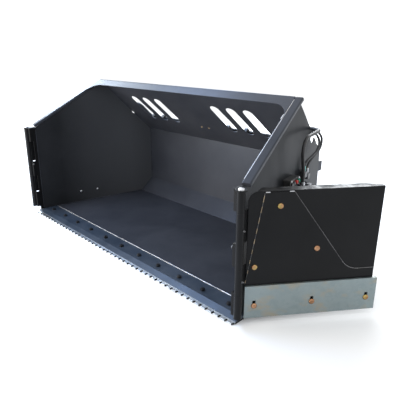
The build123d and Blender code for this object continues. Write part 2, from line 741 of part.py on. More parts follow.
bracket_local = SIDE_PLANE.to_local_coords(Vector(*CYLINDER_BASE, CYLINDER_Z))
with BuildPart() as bracket:
    for height in EAR_HEIGHTS:
        with BuildSketch(Plane.XY.offset(FLOOR_Z + height)):
            with Locations(CYLINDER_BASE):
                Circle(EAR_R)
            for reach in (-30, 60):
                foot = SIDE_PLANE.from_local_coords((bracket_local.X + reach, 0, SIDE_T + 14))
                with Locations((foot.X, foot.Y)):
                    Circle(4)
            make_hull()
            with Locations(CYLINDER_BASE):
                Circle(BARREL_BORE_R, mode=Mode.SUBTRACT)
        extrude(amount=EAR_PLATE)
    with BuildSketch(SIDE_PLANE.offset(SIDE_T)):
        with Locations((bracket_local.X, (EAR_HEIGHTS[0] + EAR_HEIGHTS[1] + EAR_PLATE) / 2)):
            RectangleRounded(150, EAR_HEIGHTS[1] - EAR_HEIGHTS[0] + EAR_PLATE + 24, 10)
    extrude(amount=12)
keep_pair("cylinder_bracket", bracket.part)

with BuildPart() as base_pin:
    with BuildSketch(Plane.XY.offset(FLOOR_Z + EAR_HEIGHTS[0] - 6)):
        with Locations(CYLINDER_BASE):
            Circle(PIVOT_R)
    extrude(amount=EAR_HEIGHTS[1] - EAR_HEIGHTS[0] + EAR_PLATE + 6)
    with BuildSketch(Plane.XY.offset(FLOOR_Z + EAR_HEIGHTS[1] + EAR_PLATE)):
        with Locations(CYLINDER_BASE):
            Circle(PIN_HEAD_R)
    extrude(amount=PIN_HEAD_T)
keep_pair("cylinder_pin", base_pin.part)

with BuildPart() as barrel:
    with BuildSketch(CYL_PLANE.offset(EYE_R - EYE_SINK)):
        Circle(TUBE_R)
    extrude(amount=TUBE_END - GLAND_LONG - EYE_R + EYE_SINK)
    with BuildSketch(CYL_PLANE.offset(TUBE_END - GLAND_LONG)):
        Circle(GLAND_R)
    extrude(amount=GLAND_LONG)
    with BuildSketch(CYL_PLANE.offset(EYE_R + TUBE_CAP)):
        Circle(TUBE_BORE_R)
    extrude(amount=TUBE_END - GLAND_LONG - EYE_R - TUBE_CAP, mode=Mode.SUBTRACT)
    with BuildSketch(CYL_PLANE.offset(TUBE_END - GLAND_LONG - 1)):
        Circle(GLAND_BORE_R)
    extrude(amount=GLAND_LONG + 2, mode=Mode.SUBTRACT)
    for reach in (BASE_PORT, TUBE_END - GLAND_LONG - BOSS_W):
        with BuildSketch(CYL_PLANE.offset(reach)):
            with Locations((TUBE_R, 0)):
                Rectangle(2 * BOSS_H, BOSS_W)
        extrude(amount=BOSS_W)
    with BuildSketch(Plane.XY.offset(FLOOR_Z + CYL_LOW)):
        with Locations(CYLINDER_BASE):
            Circle(EYE_R)
    extrude(amount=EYE_H, mode=Mode.ADD)
    with BuildSketch(Plane.XY.offset(FLOOR_Z + CYL_LOW + EYE_H)):
        with Locations(CYLINDER_BASE):
            Circle(EYE_R + EYE_CLEAR)
    extrude(amount=TUBE_R, mode=Mode.SUBTRACT)
    with BuildSketch(Plane.XY.offset(FLOOR_Z + CYL_LOW - TUBE_R)):
        with Locations(CYLINDER_BASE):
            Circle(EYE_R + EYE_CLEAR)
    extrude(amount=TUBE_R, mode=Mode.SUBTRACT)
    with BuildSketch(Plane.XY.offset(FLOOR_Z + CYL_LOW)):
        with Locations(CYLINDER_BASE):
            Circle(BARREL_BORE_R)
    extrude(amount=EYE_H, mode=Mode.SUBTRACT)
keep_pair("cylinder_barrel", barrel.part)

ROD_INSIDE = 250.0
ROD_START = CYL_LONG - ROD_INSIDE - ROD_OUT
PISTON_R = TUBE_BORE_R - 0.3
PISTON_T = 30.0
with BuildPart() as rod:
    with BuildSketch(CYL_PLANE.offset(ROD_START)):
        Circle(ROD_R)
    extrude(amount=ROD_INSIDE + ROD_OUT - EYE_R + EYE_SINK)
    with BuildSketch(CYL_PLANE.offset(ROD_START)):
        Circle(PISTON_R)
    extrude(amount=PISTON_T)
    with BuildSketch(Plane.XY.offset(FLOOR_Z + CYL_LOW)):
        with Locations(LUG_SPOT):
            Circle(EYE_R)
    extrude(amount=EYE_H)
keep_pair("cylinder_rod", rod.part)
print("cylinder length", CYL_LONG, "tube end", TUBE_END)

# ---------------------------------------------------------------- hydraulics
VALVE_U = 640.0
VALVE_H = 648.0
VALVE_OUT = 46.0
VALVE_PLUGS = (-48.0, -16.0, 16.0)
PLUG_R = 11.0
PLUG_T = 9.0
with BuildPart() as valve:
    with BuildSketch(SIDE_PLANE.offset(SIDE_T)):
        with Locations((VALVE_U, VALVE_H)):
            RectangleRounded(150, 56, 6)
    extrude(amount=VALVE_OUT)
    for reach in VALVE_PLUGS:
        with BuildSketch(SIDE_PLANE.offset(SIDE_T + VALVE_OUT)):
            with Locations((VALVE_U + reach, VALVE_H)):
                Circle(PLUG_R)
        extrude(amount=PLUG_T)
keep_pair("lock_valve", valve.part)

PORT_SPOTS = ((850.0, 650.0), (905.0, 626.0))      # along the side plate, over the floor
PORT_HALF = 20.0
PORT_LONG = 40.0
PORT_OUT = 42.0
with BuildPart() as port_blocks:
    with BuildSketch(SIDE_PLANE.offset(SIDE_T)):
        with Locations(*PORT_SPOTS):
            RectangleRounded(PORT_LONG, 2 * PORT_HALF, 5)
    extrude(amount=PORT_OUT)
keep_pair("port_blocks", port_blocks.part)

# The hoses lie side by side across the outer face of the upper back. Places there are given as
# (up the panel from the bend, out from its inner face).
PANEL_ANGLE = atan(LEAN_RISE / LEAN_RUN)
THICK_LINE = (182.0, 36.0)
THIN_LINES = ((130.0, 34.0), (155.0, 34.0))
BLOCK_UP = 162.0
BLOCK_WIDE = 96.0
BLOCK_OUT = 54.0
MANIFOLD_X = -40.0
MANIFOLD_LONG = 130.0


def panel_section(x):
    """Plane across the upper back at x: local x goes up the panel, local y out from its inner face."""
    start = (x, MOUTH_Y + DEPTH, FLOOR_Z + BEND_H)
    return Plane(origin=start, x_dir=(0, -cos(PANEL_ANGLE), sin(PANEL_ANGLE)), z_dir=(-1, 0, 0))


def panel_point(x, up, out):
    """Point behind the upper back."""
    spot = panel_section(x).from_local_coords((up, out, 0))
    return (spot.X, spot.Y, spot.Z)


with BuildPart() as manifold:
    with BuildSketch(panel_section(MANIFOLD_X)):
        with Locations((BLOCK_UP, (SHEET + BLOCK_OUT) / 2)):
            RectangleRounded(BLOCK_WIDE, BLOCK_OUT - SHEET, 5)
    extrude(amount=MANIFOLD_LONG / 2, both=True)
keep("manifold", manifold.part)


def hose(points, bend, radius):
    """Round hose along straight runs joined by arcs."""
    with BuildPart() as tube:
        with BuildLine() as route:
            FilletPolyline(*points, radius=bend)
        with BuildSketch(Plane(origin=route.wires()[0] @ 0, z_dir=route.wires()[0] % 0)):
            Circle(radius)
        sweep()
    print("hose length", round(route.wires()[0].length, 1), "bend", bend, "radius", radius)
    return tube.part


def back_point(x, depth, height):
    """Point given by its distance behind the mouth and its height over the floor."""
    return (x, MOUTH_Y + depth, FLOOR_Z + height)


BOSS_TOP = CYLINDER_Z - FLOOR_Z + TUBE_R + BOSS_H
boss_spot = Vector(*CYLINDER_BASE, 0) + CYL_RUN.normalized() * (BASE_PORT + BOSS_W / 2)
RIGHT_START = MANIFOLD_X + MANIFOLD_LONG / 2 + 0.3
LEFT_START = -MANIFOLD_X + MANIFOLD_LONG / 2 + 0.3     # mirrored to the left side


def thick_route(start_x):
    """From the manifold across the back, over the side plate and down to the cylinder."""
    return (
        panel_point(start_x, *THICK_LINE),
        panel_point(820, *THICK_LINE),
        back_point(930, 1026, 920),
        back_point(1080, 1015, 925),
        side_point(640, 921, 80),
        (boss_spot.X, boss_spot.Y, FLOOR_Z + 700),
        (boss_spot.X, boss_spot.Y, FLOOR_Z + BOSS_TOP + 0.3),
    )


PORT_DEPTHS = [along * cos(TAPER) for along, height in PORT_SPOTS]
PORT_TOPS = [height + PORT_HALF + 0.3 for along, height in PORT_SPOTS]


def thin_routes(start_x):
    """From the manifold across the back, over the side plate and down to the two port blocks."""
    return (
        (
            panel_point(start_x, *THIN_LINES[0]),
            panel_point(830, *THIN_LINES[0]),
            back_point(930, 1052, 893),
            side_point(1046, 912, 64),
            side_point(1046, 797, 62),
            side_point(PORT_DEPTHS[1], 702, 32),
            side_point(PORT_DEPTHS[1], PORT_TOPS[1], 32),
        ),
        (
            panel_point(start_x, *THIN_LINES[1]),
            panel_point(840, *THIN_LINES[1]),
            back_point(930, 1022, 888),
            side_point(1005, 898, 62),
            side_point(1000, 786, 60),
            side_point(PORT_DEPTHS[0], 724, 32),
            side_point(PORT_DEPTHS[0], PORT_TOPS[0], 32),
        ),
    )


for side_name, start_x in (("right_", RIGHT_START), ("left_", LEFT_START)):
    cylinder_hose = hose(thick_route(start_x), HOSE_BEND, HOSE_R)
    with BuildPart() as valve_hoses:
        for route_points in thin_routes(start_x):
            add(hose(route_points, THIN_BEND, SMALL_HOSE_R))
    for name, shape in (("cylinder_hose", cylinder_hose), ("valve_hoses", valve_hoses.part)):
        keep(side_name + name, shape if side_name == "right_" else mirror(shape, about=Plane.YZ))

COUPLER_X = 290.0
COUPLER_DEPTH = 1296.0
SUPPLY_SPREAD = 35.0
SUPPLY_OUT = 30.0
COUPLER_LOW = 600.0
COUPLER_TOP = 690.0
with BuildPart() as supply_hoses:
    for side in (-1, 1):
        supply_x = MANIFOLD_X + SUPPLY_SPREAD * side
        supply_route = (
            panel_point(supply_x, BLOCK_UP - BLOCK_WIDE / 2 - 0.3, SUPPLY_OUT),
            panel_point(supply_x, 30, SUPPLY_OUT + 4),
            back_point(COUPLER_X * side, COUPLER_DEPTH, 780),
            back_point(COUPLER_X * side, COUPLER_DEPTH, COUPLER_TOP + 0.3),
        )
        add(hose(supply_route, THIN_BEND, SMALL_HOSE_R))
keep("supply_hoses", supply_hoses.part)

CLAMP_XS = (-765.0, -626.0, -200.0, 200.0, 390.0, 765.0)
CLAMP_HALF = 15.0
CLAMP_GAP = 0.35
with BuildPart() as hose_clamps:
    for clamp_x in CLAMP_XS:
        with BuildSketch(panel_section(clamp_x)):
            with Locations((BLOCK_UP, (SHEET + BLOCK_OUT) / 2)):
                RectangleRounded(BLOCK_WIDE, BLOCK_OUT - SHEET, 6)
            with Locations(THICK_LINE):
                Circle(HOSE_R + CLAMP_GAP, mode=Mode.SUBTRACT)
            with Locations(*THIN_LINES):
                Circle(SMALL_HOSE_R + CLAMP_GAP, mode=Mode.SUBTRACT)
        extrude(amount=CLAMP_HALF, both=True)
keep("hose_clamps", hose_clamps.part)

COUPLER_R = 14.0
SLEEVE_R = COUPLER_R + 3
SLEEVE_LOW = 640.0
SLEEVE_LONG = 28.0
CLIP_R = COUPLER_R + 5
CLIP_LOW = 612.0
CLIP_TALL = 22.0
CLIP_WIDE = 20.0
CLIP_SINK = 12.0          # the clip's arm stops this far short of the coupler's centre
BEAM_REAR = BACK_OUT + BEAM_T
with BuildPart() as couplers:
    for side in (-1, 1):
        with BuildSketch(Plane.XY.offset(FLOOR_Z + COUPLER_LOW)):
            with Locations((COUPLER_X * side, MOUTH_Y + COUPLER_DEPTH)):
                Circle(COUPLER_R)
        extrude(amount=COUPLER_TOP - COUPLER_LOW)
        with BuildSketch(Plane.XY.offset(FLOOR_Z + SLEEVE_LOW)):
            with Locations((COUPLER_X * side, MOUTH_Y + COUPLER_DEPTH)):
                Circle(SLEEVE_R)
        extrude(amount=SLEEVE_LONG)
keep("couplers", couplers.part)

with BuildPart() as coupler_clips:
    for side in (-1, 1):
        with BuildSketch(Plane.XY.offset(FLOOR_Z + CLIP_LOW)):
            with Locations((COUPLER_X * side, MOUTH_Y + COUPLER_DEPTH)):
                Circle(CLIP_R)
            with Locations((COUPLER_X * side, MOUTH_Y + (BEAM_REAR + COUPLER_DEPTH - CLIP_SINK) / 2)):
                Rectangle(CLIP_WIDE, COUPLER_DEPTH - BEAM_REAR - CLIP_SINK)
            with Locations((COUPLER_X * side, MOUTH_Y + COUPLER_DEPTH)):
                Circle(COUPLER_R, mode=Mode.SUBTRACT)
        extrude(amount=CLIP_TALL)
keep("coupler_clips", coupler_clips.part)

os.makedirs("parts", exist_ok=True)
for name, body in parts.items():
    export_step(body, "parts/" + name + ".step")
    print(name, round(body.volume), [round(v, 1) for v in body.bounding_box().min], len(body.solids()))
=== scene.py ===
"""Looks of a high-volume snow bucket with hydraulic folding wings: paint, plating, welds and light."""

import json
import math
import random

import bmesh
import bpy
from mathutils import Matrix, Vector


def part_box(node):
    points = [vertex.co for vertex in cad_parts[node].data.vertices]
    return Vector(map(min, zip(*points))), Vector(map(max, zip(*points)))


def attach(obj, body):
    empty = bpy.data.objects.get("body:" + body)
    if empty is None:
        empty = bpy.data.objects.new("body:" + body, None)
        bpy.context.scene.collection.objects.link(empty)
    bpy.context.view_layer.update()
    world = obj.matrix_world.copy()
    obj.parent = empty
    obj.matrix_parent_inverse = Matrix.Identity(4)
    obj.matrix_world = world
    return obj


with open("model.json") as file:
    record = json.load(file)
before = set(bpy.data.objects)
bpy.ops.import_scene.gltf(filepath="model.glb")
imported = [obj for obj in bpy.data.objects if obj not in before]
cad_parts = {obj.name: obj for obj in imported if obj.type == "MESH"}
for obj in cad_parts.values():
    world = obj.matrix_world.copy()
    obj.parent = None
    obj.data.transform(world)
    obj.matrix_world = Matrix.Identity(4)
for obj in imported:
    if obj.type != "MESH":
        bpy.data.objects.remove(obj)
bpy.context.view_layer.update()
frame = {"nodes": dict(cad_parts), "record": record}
nodes = frame["nodes"]
scene = bpy.context.scene
random.seed(7)

# ---------------------------------------------------------------- the bucket's main dimensions, in metres
MOUTH_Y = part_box("base_edge")[0].y               # front edge of the side plates
FLOOR_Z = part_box("base_edge")[1].z               # top of the floor sheet
HALF_MOUTH = 1.219                               # inner face of a side plate at the mouth
NARROWING = 0.2445                               # and how much nearer the middle it is at the back
BEND = (1.181, 0.655)                            # depth behind the mouth, height over the floor
TOP_CORNER = (0.675, 1.167)
TAPER = math.atan(NARROWING / BEND[0])
CHAMFER = 0.125                                  # slope between the floor and the back
SEAM_DEPTH = 0.168                               # rear of the base edge, where the floor sheet begins
RIM_H0 = 0.779                                   # height of the sloping rim at the mouth
TUBE_H = 0.026                                   # rim tube
TUBE_W = 0.052
SIDE_SHEET = 0.008
WING_HINGE = Vector((1.256, MOUTH_Y - 0.018, 0))
WING_ANGLE = math.radians(54)                    # at rest the wing is swept back from straight out
FACE_BEHIND = 0.0495                             # the wing's front beads, behind its hinge line
BARREL_R = 0.0222                                # wing hinge barrel
HOSE_R = 0.0110
THIN_R = 0.0080
PAINTED_LIGHT_START = 0.25                                # depth where the painted light on the side plates' inner faces begins
PAINTED_LIGHT_FULL = 0.95                                  # and where it is full


def spot(x, depth, height):
    """Row-frame point from x, the depth behind the mouth and the height over the floor."""
    return Vector((x, MOUTH_Y + depth, FLOOR_Z + height))


def inner_x(depth):
    """X of the right side plate's inner face."""
    return HALF_MOUTH - depth * math.tan(TAPER)


def side_spot(depth, height, off=0.0):
    """Point off metres outside the right side plate's inner face."""
    return spot(inner_x(depth), depth, height) + off * SIDE_NORMAL


def wing_spot(along, behind, height):
    """Point from the right hinge line: out along the wing, behind it and over the floor."""
    out = Vector((math.cos(WING_ANGLE), math.sin(WING_ANGLE), 0))
    back = Vector((-math.sin(WING_ANGLE), math.cos(WING_ANGLE), 0))
    return WING_HINGE + out * along + back * behind + Vector((0, 0, FLOOR_Z + height))


def panel_spot(x, up, out):
    """Point by the leaning upper back: up it from the bend, out to the rear of its inner face."""
    return spot(x, *BEND) + PANEL_UP * up + PANEL_OUT * out


SIDE_NORMAL = Vector((math.cos(TAPER), math.sin(TAPER), 0))
PANEL_UP = Vector((0, TOP_CORNER[0] - BEND[0], TOP_CORNER[1] - BEND[1])).normalized()
PANEL_OUT = Vector((0, PANEL_UP.z, -PANEL_UP.y))
UPWARD = Vector((0, 0, 1))


def stay(point):
    """The point itself, which is on the right side."""
    return point


def flip(point):
    """The same point on the left side."""
    return Vector((-point.x, point.y, point.z))


SIDES = (("right", stay), ("left", flip))


# ---------------------------------------------------------------- materials
EVEN = (1, 1, 1)


class Shader:
    """A material's node tree, with short ways to add and join nodes."""

    def __init__(self, name):
        self.material = bpy.data.materials.new(name)
        self.material.use_nodes = True
        self.tree = self.material.node_tree
        self.tree.nodes.clear()
        self.out = self.tree.nodes.new("ShaderNodeOutputMaterial")
        self.bsdf = self.tree.nodes.new("ShaderNodeBsdfPrincipled")
        self.tree.links.new(self.bsdf.outputs[0], self.out.inputs[0])
        self.coords = self.tree.nodes.new("ShaderNodeTexCoord").outputs["Object"]

    def set(self, **values):
        """Constant values of the shader's own sockets; an underscore stands for a space."""
        for key, value in values.items():
            self.bsdf.inputs[key.replace("_", " ")].default_value = value

    def node(self, kind, inputs=None, **settings):
        """A new node; an input is a constant, or a socket that is joined to it."""
        made = self.tree.nodes.new(kind)
        for key, value in settings.items():
            setattr(made, key, value)
        for key, value in (inputs or {}).items():
            if isinstance(value, bpy.types.NodeSocket):
                self.tree.links.new(value, made.inputs[key])
            else:
                made.inputs[key].default_value = value
        return made

    def noise(self, scale, detail=3.0, roughness=0.5, stretch=EVEN):
        place = self.node("ShaderNodeMapping", {"Vector": self.coords, "Scale": stretch}).outputs[0]
        wanted = {"Vector": place, "Scale": scale, "Detail": detail, "Roughness": roughness}
        return self.node("ShaderNodeTexNoise", wanted).outputs[0]

    def cells(self, scale, output):
        wanted = {"Vector": self.coords, "Scale": scale}
        return self.node("ShaderNodeTexVoronoi", wanted).outputs[output]

    def axis(self, output, index):
        """One coordinate of an output of the Geometry node, such as Normal or Position."""
        geometry = self.node("ShaderNodeNewGeometry")
        return self.node("ShaderNodeSeparateXYZ", {0: geometry.outputs[output]}).outputs[index]

    def ramp(self, value, low, high, start=0.0, end=1.0):
        """Start at low and under, end at high and over, with a straight line between."""
        wanted = {"Value": value, "From Min": low, "From Max": high, "To Min": start, "To Max": end}
        return self.node("ShaderNodeMapRange", wanted).outputs[0]

    def math(self, operation, a, b=0.0):
        return self.node("ShaderNodeMath", {0: a, 1: b}, operation=operation).outputs[0]

    def mix(self, factor, a, b):
        made = self.node("ShaderNodeMix", data_type="RGBA")
        for index, value in ((0, factor), (6, a), (7, b)):
            if isinstance(value, bpy.types.NodeSocket):
                self.tree.links.new(value, made.inputs[index])
            else:
                made.inputs[index].default_value = value if index == 0 else (*value, 1)
        return made.outputs[2]

    def rounded(self, radius):
        """Normals as if every sharp edge were broken by this radius."""
        return self.node("ShaderNodeBevel", {"Radius": radius}, samples=4).outputs[0]

    def edge_mask(self, normal):
        """1 along sharp edges, 0 on flat faces."""
        true_normal = self.node("ShaderNodeNewGeometry").outputs["True Normal"]
        wanted = {0: normal, 1: true_normal}
        agreement = self.node("ShaderNodeVectorMath", wanted, operation="DOT_PRODUCT").outputs["Value"]
        return self.ramp(self.math("SUBTRACT", 1.0, agreement), 0.02, 0.22)

    def painted_rear_light(self):
        """Painted light on the bucket's inner faces: none near the mouth, full towards the back."""
        outward = self.math("MULTIPLY", self.axis("True Normal", 0), self.axis("Position", 0))
        inner = self.ramp(outward, -0.2, 0.0, 1.0, 0.0)
        depth = self.ramp(self.axis("Position", 1), MOUTH_Y + PAINTED_LIGHT_START, MOUTH_Y + PAINTED_LIGHT_FULL)
        return self.math("MULTIPLY", inner, depth)

    def bump(self, height, strength, distance, normal=None):
        wanted = {"Height": height, "Strength": strength, "Distance": distance}
        if normal is not None:
            wanted["Normal"] = normal
        return self.node("ShaderNodeBump", wanted).outputs[0]

    def link(self, **sockets):
        for key, value in sockets.items():
            self.tree.links.new(value, self.bsdf.inputs[key.replace("_", " ")])


DUST_TONE = (0.16, 0.16, 0.165)
CHIP_TONE = (0.2, 0.2, 0.205)
PALE_EDGE = (0.85, 0.85, 0.85)
# colour of the painted shade under bolt heads
UNDERSIDE_SHADE_TONE = (0.05, 0.03, 0.02)
SPANGLE_TONES = ((0.195, 0.240, 0.248), (0.24, 0.285, 0.29))
BLOOM_TONE = (0.27, 0.315, 0.315)
ZINC_STAIN = (0.31, 0.27, 0.20)
RUBBER_TONES = ((0.012, 0.012, 0.013), (0.03, 0.03, 0.031))
PRINT_YELLOW = (0.62, 0.46, 0.08)


def paint(
    name, dark, light, rough=(0.29, 0.38), worn=0.35, dust=0.04, gloss=0.16, tint=EVEN, rear_light_tone=None
):
    """Coat over rolled sheet: patchy tone, faint grain in the gloss, orange peel, dust on flat tops, wear
    on edges and, if a tone for it is given, painted light on the bucket's inner faces that grows towards
    the back."""
    s = Shader(name)
    normal = s.rounded(0.0016)
    patches = s.noise(2.3, 5.0, 0.6)
    grain = s.noise(6.0, 3.0, 0.5, (1.0, 1.0, 0.3))
    body = s.mix(s.ramp(patches, 0.35, 0.7), dark, light)
    # painted light: inner faces turn lighter towards the back
    if rear_light_tone:
        body = s.mix(s.painted_rear_light(), body, rear_light_tone)
    specks = s.ramp(s.noise(14.0, 8.0, 0.7), 0.42, 0.75, 0.0, dust)
    settled = s.math("MULTIPLY", s.ramp(s.axis("Normal", 2), 0.6, 1.0), specks)
    dusty = s.mix(settled, body, DUST_TONE)
    scuffs = s.ramp(s.noise(38.0, 6.0, 0.8), 0.5, 0.62, 0.0, worn)
    chips = s.math("MULTIPLY", s.edge_mask(normal), scuffs)
    s.link(Base_Color=s.mix(chips, dusty, CHIP_TONE))
    base_rough = s.ramp(grain, 0.3, 0.7, *rough)
    s.link(Roughness=s.math("ADD", base_rough, s.math("MULTIPLY", settled, 1.2)))
    peel = s.bump(s.noise(420.0, 2.0), 0.10, 0.0004, normal)
    s.link(Normal=s.bump(s.noise(70.0, 5.0, 0.7), 0.04, 0.0006, peel))
    s.set(Specular_IOR_Level=gloss, Specular_Tint=(*tint, 1))
    return s.material


def plated(
    name, tones, rough=(0.285, 0.4), grain=(60.0, EVEN), metallic=1.0, edge=PALE_EDGE, flank_shade=None, underside_shade=0
):
    """Plated or bare steel: cloudy tones, fine grain and a tone on edges. Painted shade darkens faces that
    look down, and faces square to x get a painted shade tone, if these are given."""
    s = Shader(name)
    normal = s.rounded(0.0010)
    cloud = s.noise(16.0, 6.0, 0.65)
    tone = s.mix(s.ramp(cloud, 0.35, 0.68), tones[0], tones[1])
    stain = s.ramp(s.noise(5.0, 6.0, 0.7), 0.55, 0.72)
    tone = s.mix(stain, tone, tones[-1])
    lines = s.noise(grain[0], 4.0, 0.6, grain[1])
    tone = s.mix(s.math("MULTIPLY", s.edge_mask(normal), 0.5), tone, edge)
    # painted shade: faces that look down turn dark
    if underside_shade:
        tone = s.mix(s.ramp(s.axis("Normal", 2), 0.25, -0.55, 0.0, underside_shade), tone, UNDERSIDE_SHADE_TONE)
    # painted shade: faces square to x, the teeth's sides, take a dark tone
    if flank_shade:
        across = s.math("ABSOLUTE", s.axis("True Normal", 0))
        tone = s.mix(s.ramp(across, 0.30, 0.45), tone, flank_shade)
    s.link(Base_Color=tone)
    s.link(Roughness=s.ramp(lines, 0.3, 0.7, *rough))
    s.link(Normal=s.bump(lines, 0.12, 0.0005, normal))
    s.set(Metallic=metallic)
    return s.material


def galvanised(name):
    """Hot-dip zinc: angular spangle, cloudy bloom and faint brown stain."""
    s = Shader(name)
    normal = s.rounded(0.0012)
    spangle = s.cells(55.0, "Color")
    shade = s.node("ShaderNodeSeparateColor", {0: spangle}).outputs[0]
    base = s.mix(s.ramp(shade, 0.0, 1.0), *SPANGLE_TONES)
    bloom = s.ramp(s.noise(4.5, 7.0, 0.65), 0.42, 0.7)
    base = s.mix(s.math("MULTIPLY", bloom, 0.6), base, BLOOM_TONE)
    stain = s.ramp(s.noise(9.0, 5.0, 0.6, (1.0, 1.0, 1.6)), 0.52, 0.70, 0.0, 0.75)
    base = s.mix(stain, base, ZINC_STAIN)
    s.link(Base_Color=base)
    s.link(Roughness=s.ramp(shade, 0.0, 1.0, 0.38, 0.55))
    s.link(Normal=s.bump(shade, 0.06, 0.0006, normal))
    s.set(Metallic=0.75)
    return s.material


def hose_cover(name):
    """Rubber cover with a fine wrapped pattern and sparse yellow print marks."""
    s = Shader(name)
    wrap = s.node("ShaderNodeTexWave", {"Vector": s.coords, "Scale": 160.0, "Distortion": 1.5}).outputs[1]
    marks = s.ramp(s.cells(75.0, "Distance"), 0.12, 0.15, 1.0, 0.0)
    sparse = s.ramp(s.noise(22.0, 2.0), 0.60, 0.63)
    body = s.mix(s.noise(30.0), *RUBBER_TONES)
    s.link(Base_Color=s.mix(s.math("MULTIPLY", marks, sparse), body, PRINT_YELLOW))
    s.link(Roughness=s.ramp(s.noise(90.0), 0.3, 0.7, 0.42, 0.62))
    s.link(Normal=s.bump(wrap, 0.25, 0.0006))
    return s.material


def moulded(name, tone, rough=(0.35, 0.55)):
    """Moulded plastic with a fine pebble texture."""
    s = Shader(name)
    normal = s.rounded(0.0008)
    s.link(Base_Color=s.mix(s.noise(25.0, 5.0), [c * 0.75 for c in tone], tone))
    s.link(Roughness=s.ramp(s.noise(120.0), 0.3, 0.7, *rough))
    s.link(Normal=s.bump(s.noise(900.0), 0.15, 0.0003, normal))
    return s.material


ACROSS = (0.05, 1.0, 1.0)
SKY_TINT = (0.74, 0.84, 1.0)
STEEL_TONES = ((0.55, 0.58, 0.60), (0.74, 0.77, 0.79), (0.52, 0.51, 0.49))
ZINC_TONES = ((0.62, 0.63, 0.66), (0.78, 0.78, 0.80), (0.6, 0.6, 0.58))
YELLOW_TONES = ((0.24, 0.11, 0.05), (0.66, 0.38, 0.22), (0.46, 0.40, 0.10))
CHROME_TONES = ((0.70, 0.71, 0.73), (0.78, 0.79, 0.8), (0.72, 0.72, 0.73))
VALVE_TONES = ((0.030, 0.031, 0.034), (0.065, 0.066, 0.070), (0.045, 0.043, 0.040))
COUPLER_TONES = ((0.55, 0.55, 0.56), (0.7, 0.7, 0.71), (0.5, 0.49, 0.46))
MATERIALS = {
    "black_paint": paint(
        "black_paint", (0.026, 0.028, 0.034), (0.040, 0.042, 0.049), (0.29, 0.37), gloss=0.22, tint=SKY_TINT
    ),
    # the base edge's blue cast is a painted sky reflection
    "edge_paint": paint(
        "edge_paint", (0.018, 0.026, 0.038), (0.032, 0.044, 0.062), (0.285, 0.36), 0.6, 0.12, 0.42, SKY_TINT
    ),
    # the cutting edge's teeth get painted shade on their sides
    "raw_steel": plated("raw_steel", STEEL_TONES, (0.3, 0.5), (90.0, ACROSS), flank_shade=(0.03, 0.032, 0.036)),
    "galvanised": galvanised("galvanised"),
    "bright_zinc": plated("bright_zinc", ZINC_TONES),
    # yellow zinc bolt heads: their dark edge tone is painted shade on the rims, and they are darkened below
    # with painted shade
    "yellow_zinc": plated(
        "yellow_zinc", YELLOW_TONES, (0.12, 0.26), (60.0, EVEN), 0.9, (0.30, 0.17, 0.10), underside_shade=0.8
    ),
    "dark_bolt": paint("dark_bolt", (0.008, 0.0085, 0.010), (0.022, 0.023, 0.026), (0.3, 0.45), 0.08, 0.05),
    "hard_chrome": plated("hard_chrome", CHROME_TONES, (0.06, 0.12), (220.0, (1.0, 0.2, 1.0))),
    "valve_body": plated("valve_body", VALVE_TONES, (0.3, 0.5), metallic=0.2, edge=(0.16, 0.16, 0.165)),
    "hose_rubber": hose_cover("hose_rubber"),
    "clamp_plastic": moulded("clamp_plastic", (0.02, 0.02, 0.021)),
    "coupler_steel": plated("coupler_steel", COUPLER_TONES),
}
# a much darker copy of the black paint for the wings: painted shade; its up-facing faces get more dust
SHADED_WING_PAINT = paint(
    "wing_paint", (0.0050, 0.0051, 0.0055), (0.0080, 0.0082, 0.0088), (0.29, 0.36), dust=0.42, gloss=0.13
)
# the side plates' paint, with painted light on their inner faces towards the back
SIDE_PAINT = paint(
    "side_paint", (0.013, 0.014, 0.016), (0.020, 0.021, 0.024), gloss=0.07, rear_light_tone=(0.070, 0.073, 0.080)
)
BRIGHT_TONES = ((0.42, 0.43, 0.46), (0.62, 0.63, 0.66), (0.5, 0.46, 0.4))
SEAM_TONES = ((0.10, 0.105, 0.12), (0.36, 0.37, 0.40), (0.20, 0.19, 0.18))
GREY_TONES = ((0.04, 0.04, 0.042), (0.15, 0.15, 0.155), (0.08, 0.075, 0.07))
TAN_TONES = ((0.30, 0.22, 0.13), (0.46, 0.35, 0.22), (0.2, 0.16, 0.11))
TEAL_TONES = ((0.08, 0.30, 0.27), (0.16, 0.42, 0.38), (0.1, 0.24, 0.22))
FITTING_TONES = ((0.36, 0.37, 0.39), (0.52, 0.53, 0.55), (0.42, 0.41, 0.38))
WELD_BRIGHT = plated("weld_bright", BRIGHT_TONES, (0.3, 0.5))
WELD_SEAM = plated("weld_seam", SEAM_TONES, (0.3, 0.5), metallic=0.8)
WELD_GREY = plated("weld_grey", GREY_TONES, (0.35, 0.55), metallic=0.6)
WELD_PAINT = paint("weld_paint", (0.014, 0.016, 0.021), (0.044, 0.048, 0.060), (0.29, 0.40), 0.5, 0.25)
WELD_TAN = plated("weld_tan", TAN_TONES, (0.35, 0.55))
CAP_RED = moulded("cap_red", (0.55, 0.03, 0.025))
CAP_GREEN = moulded("cap_green", (0.02, 0.26, 0.16))
FITTING_TEAL = plated("fitting_teal", TEAL_TONES, (0.3, 0.45), metallic=0.6)
FITTING_STEEL = plated("fitting_steel", FITTING_TONES, (0.28, 0.45))

WING_NODES = ("wing_skin", "wing_face_plate", "wing_hinge", "hinge_post")
SIDE_NODES = ("side_plate",)
DULL_NODES = ("edge_nuts",)
for part in frame["record"]["subparts"]:
    mesh = nodes[part["node"]].data
    material = MATERIALS[part["material_slot"]]
    if part["node"].endswith(WING_NODES):
        material = SHADED_WING_PAINT
    elif part["node"].endswith(SIDE_NODES):
        material = SIDE_PAINT
    elif part["node"] in DULL_NODES:
        material = MATERIALS["dark_bolt"]
    mesh.materials.clear()
    mesh.materials.append(material)


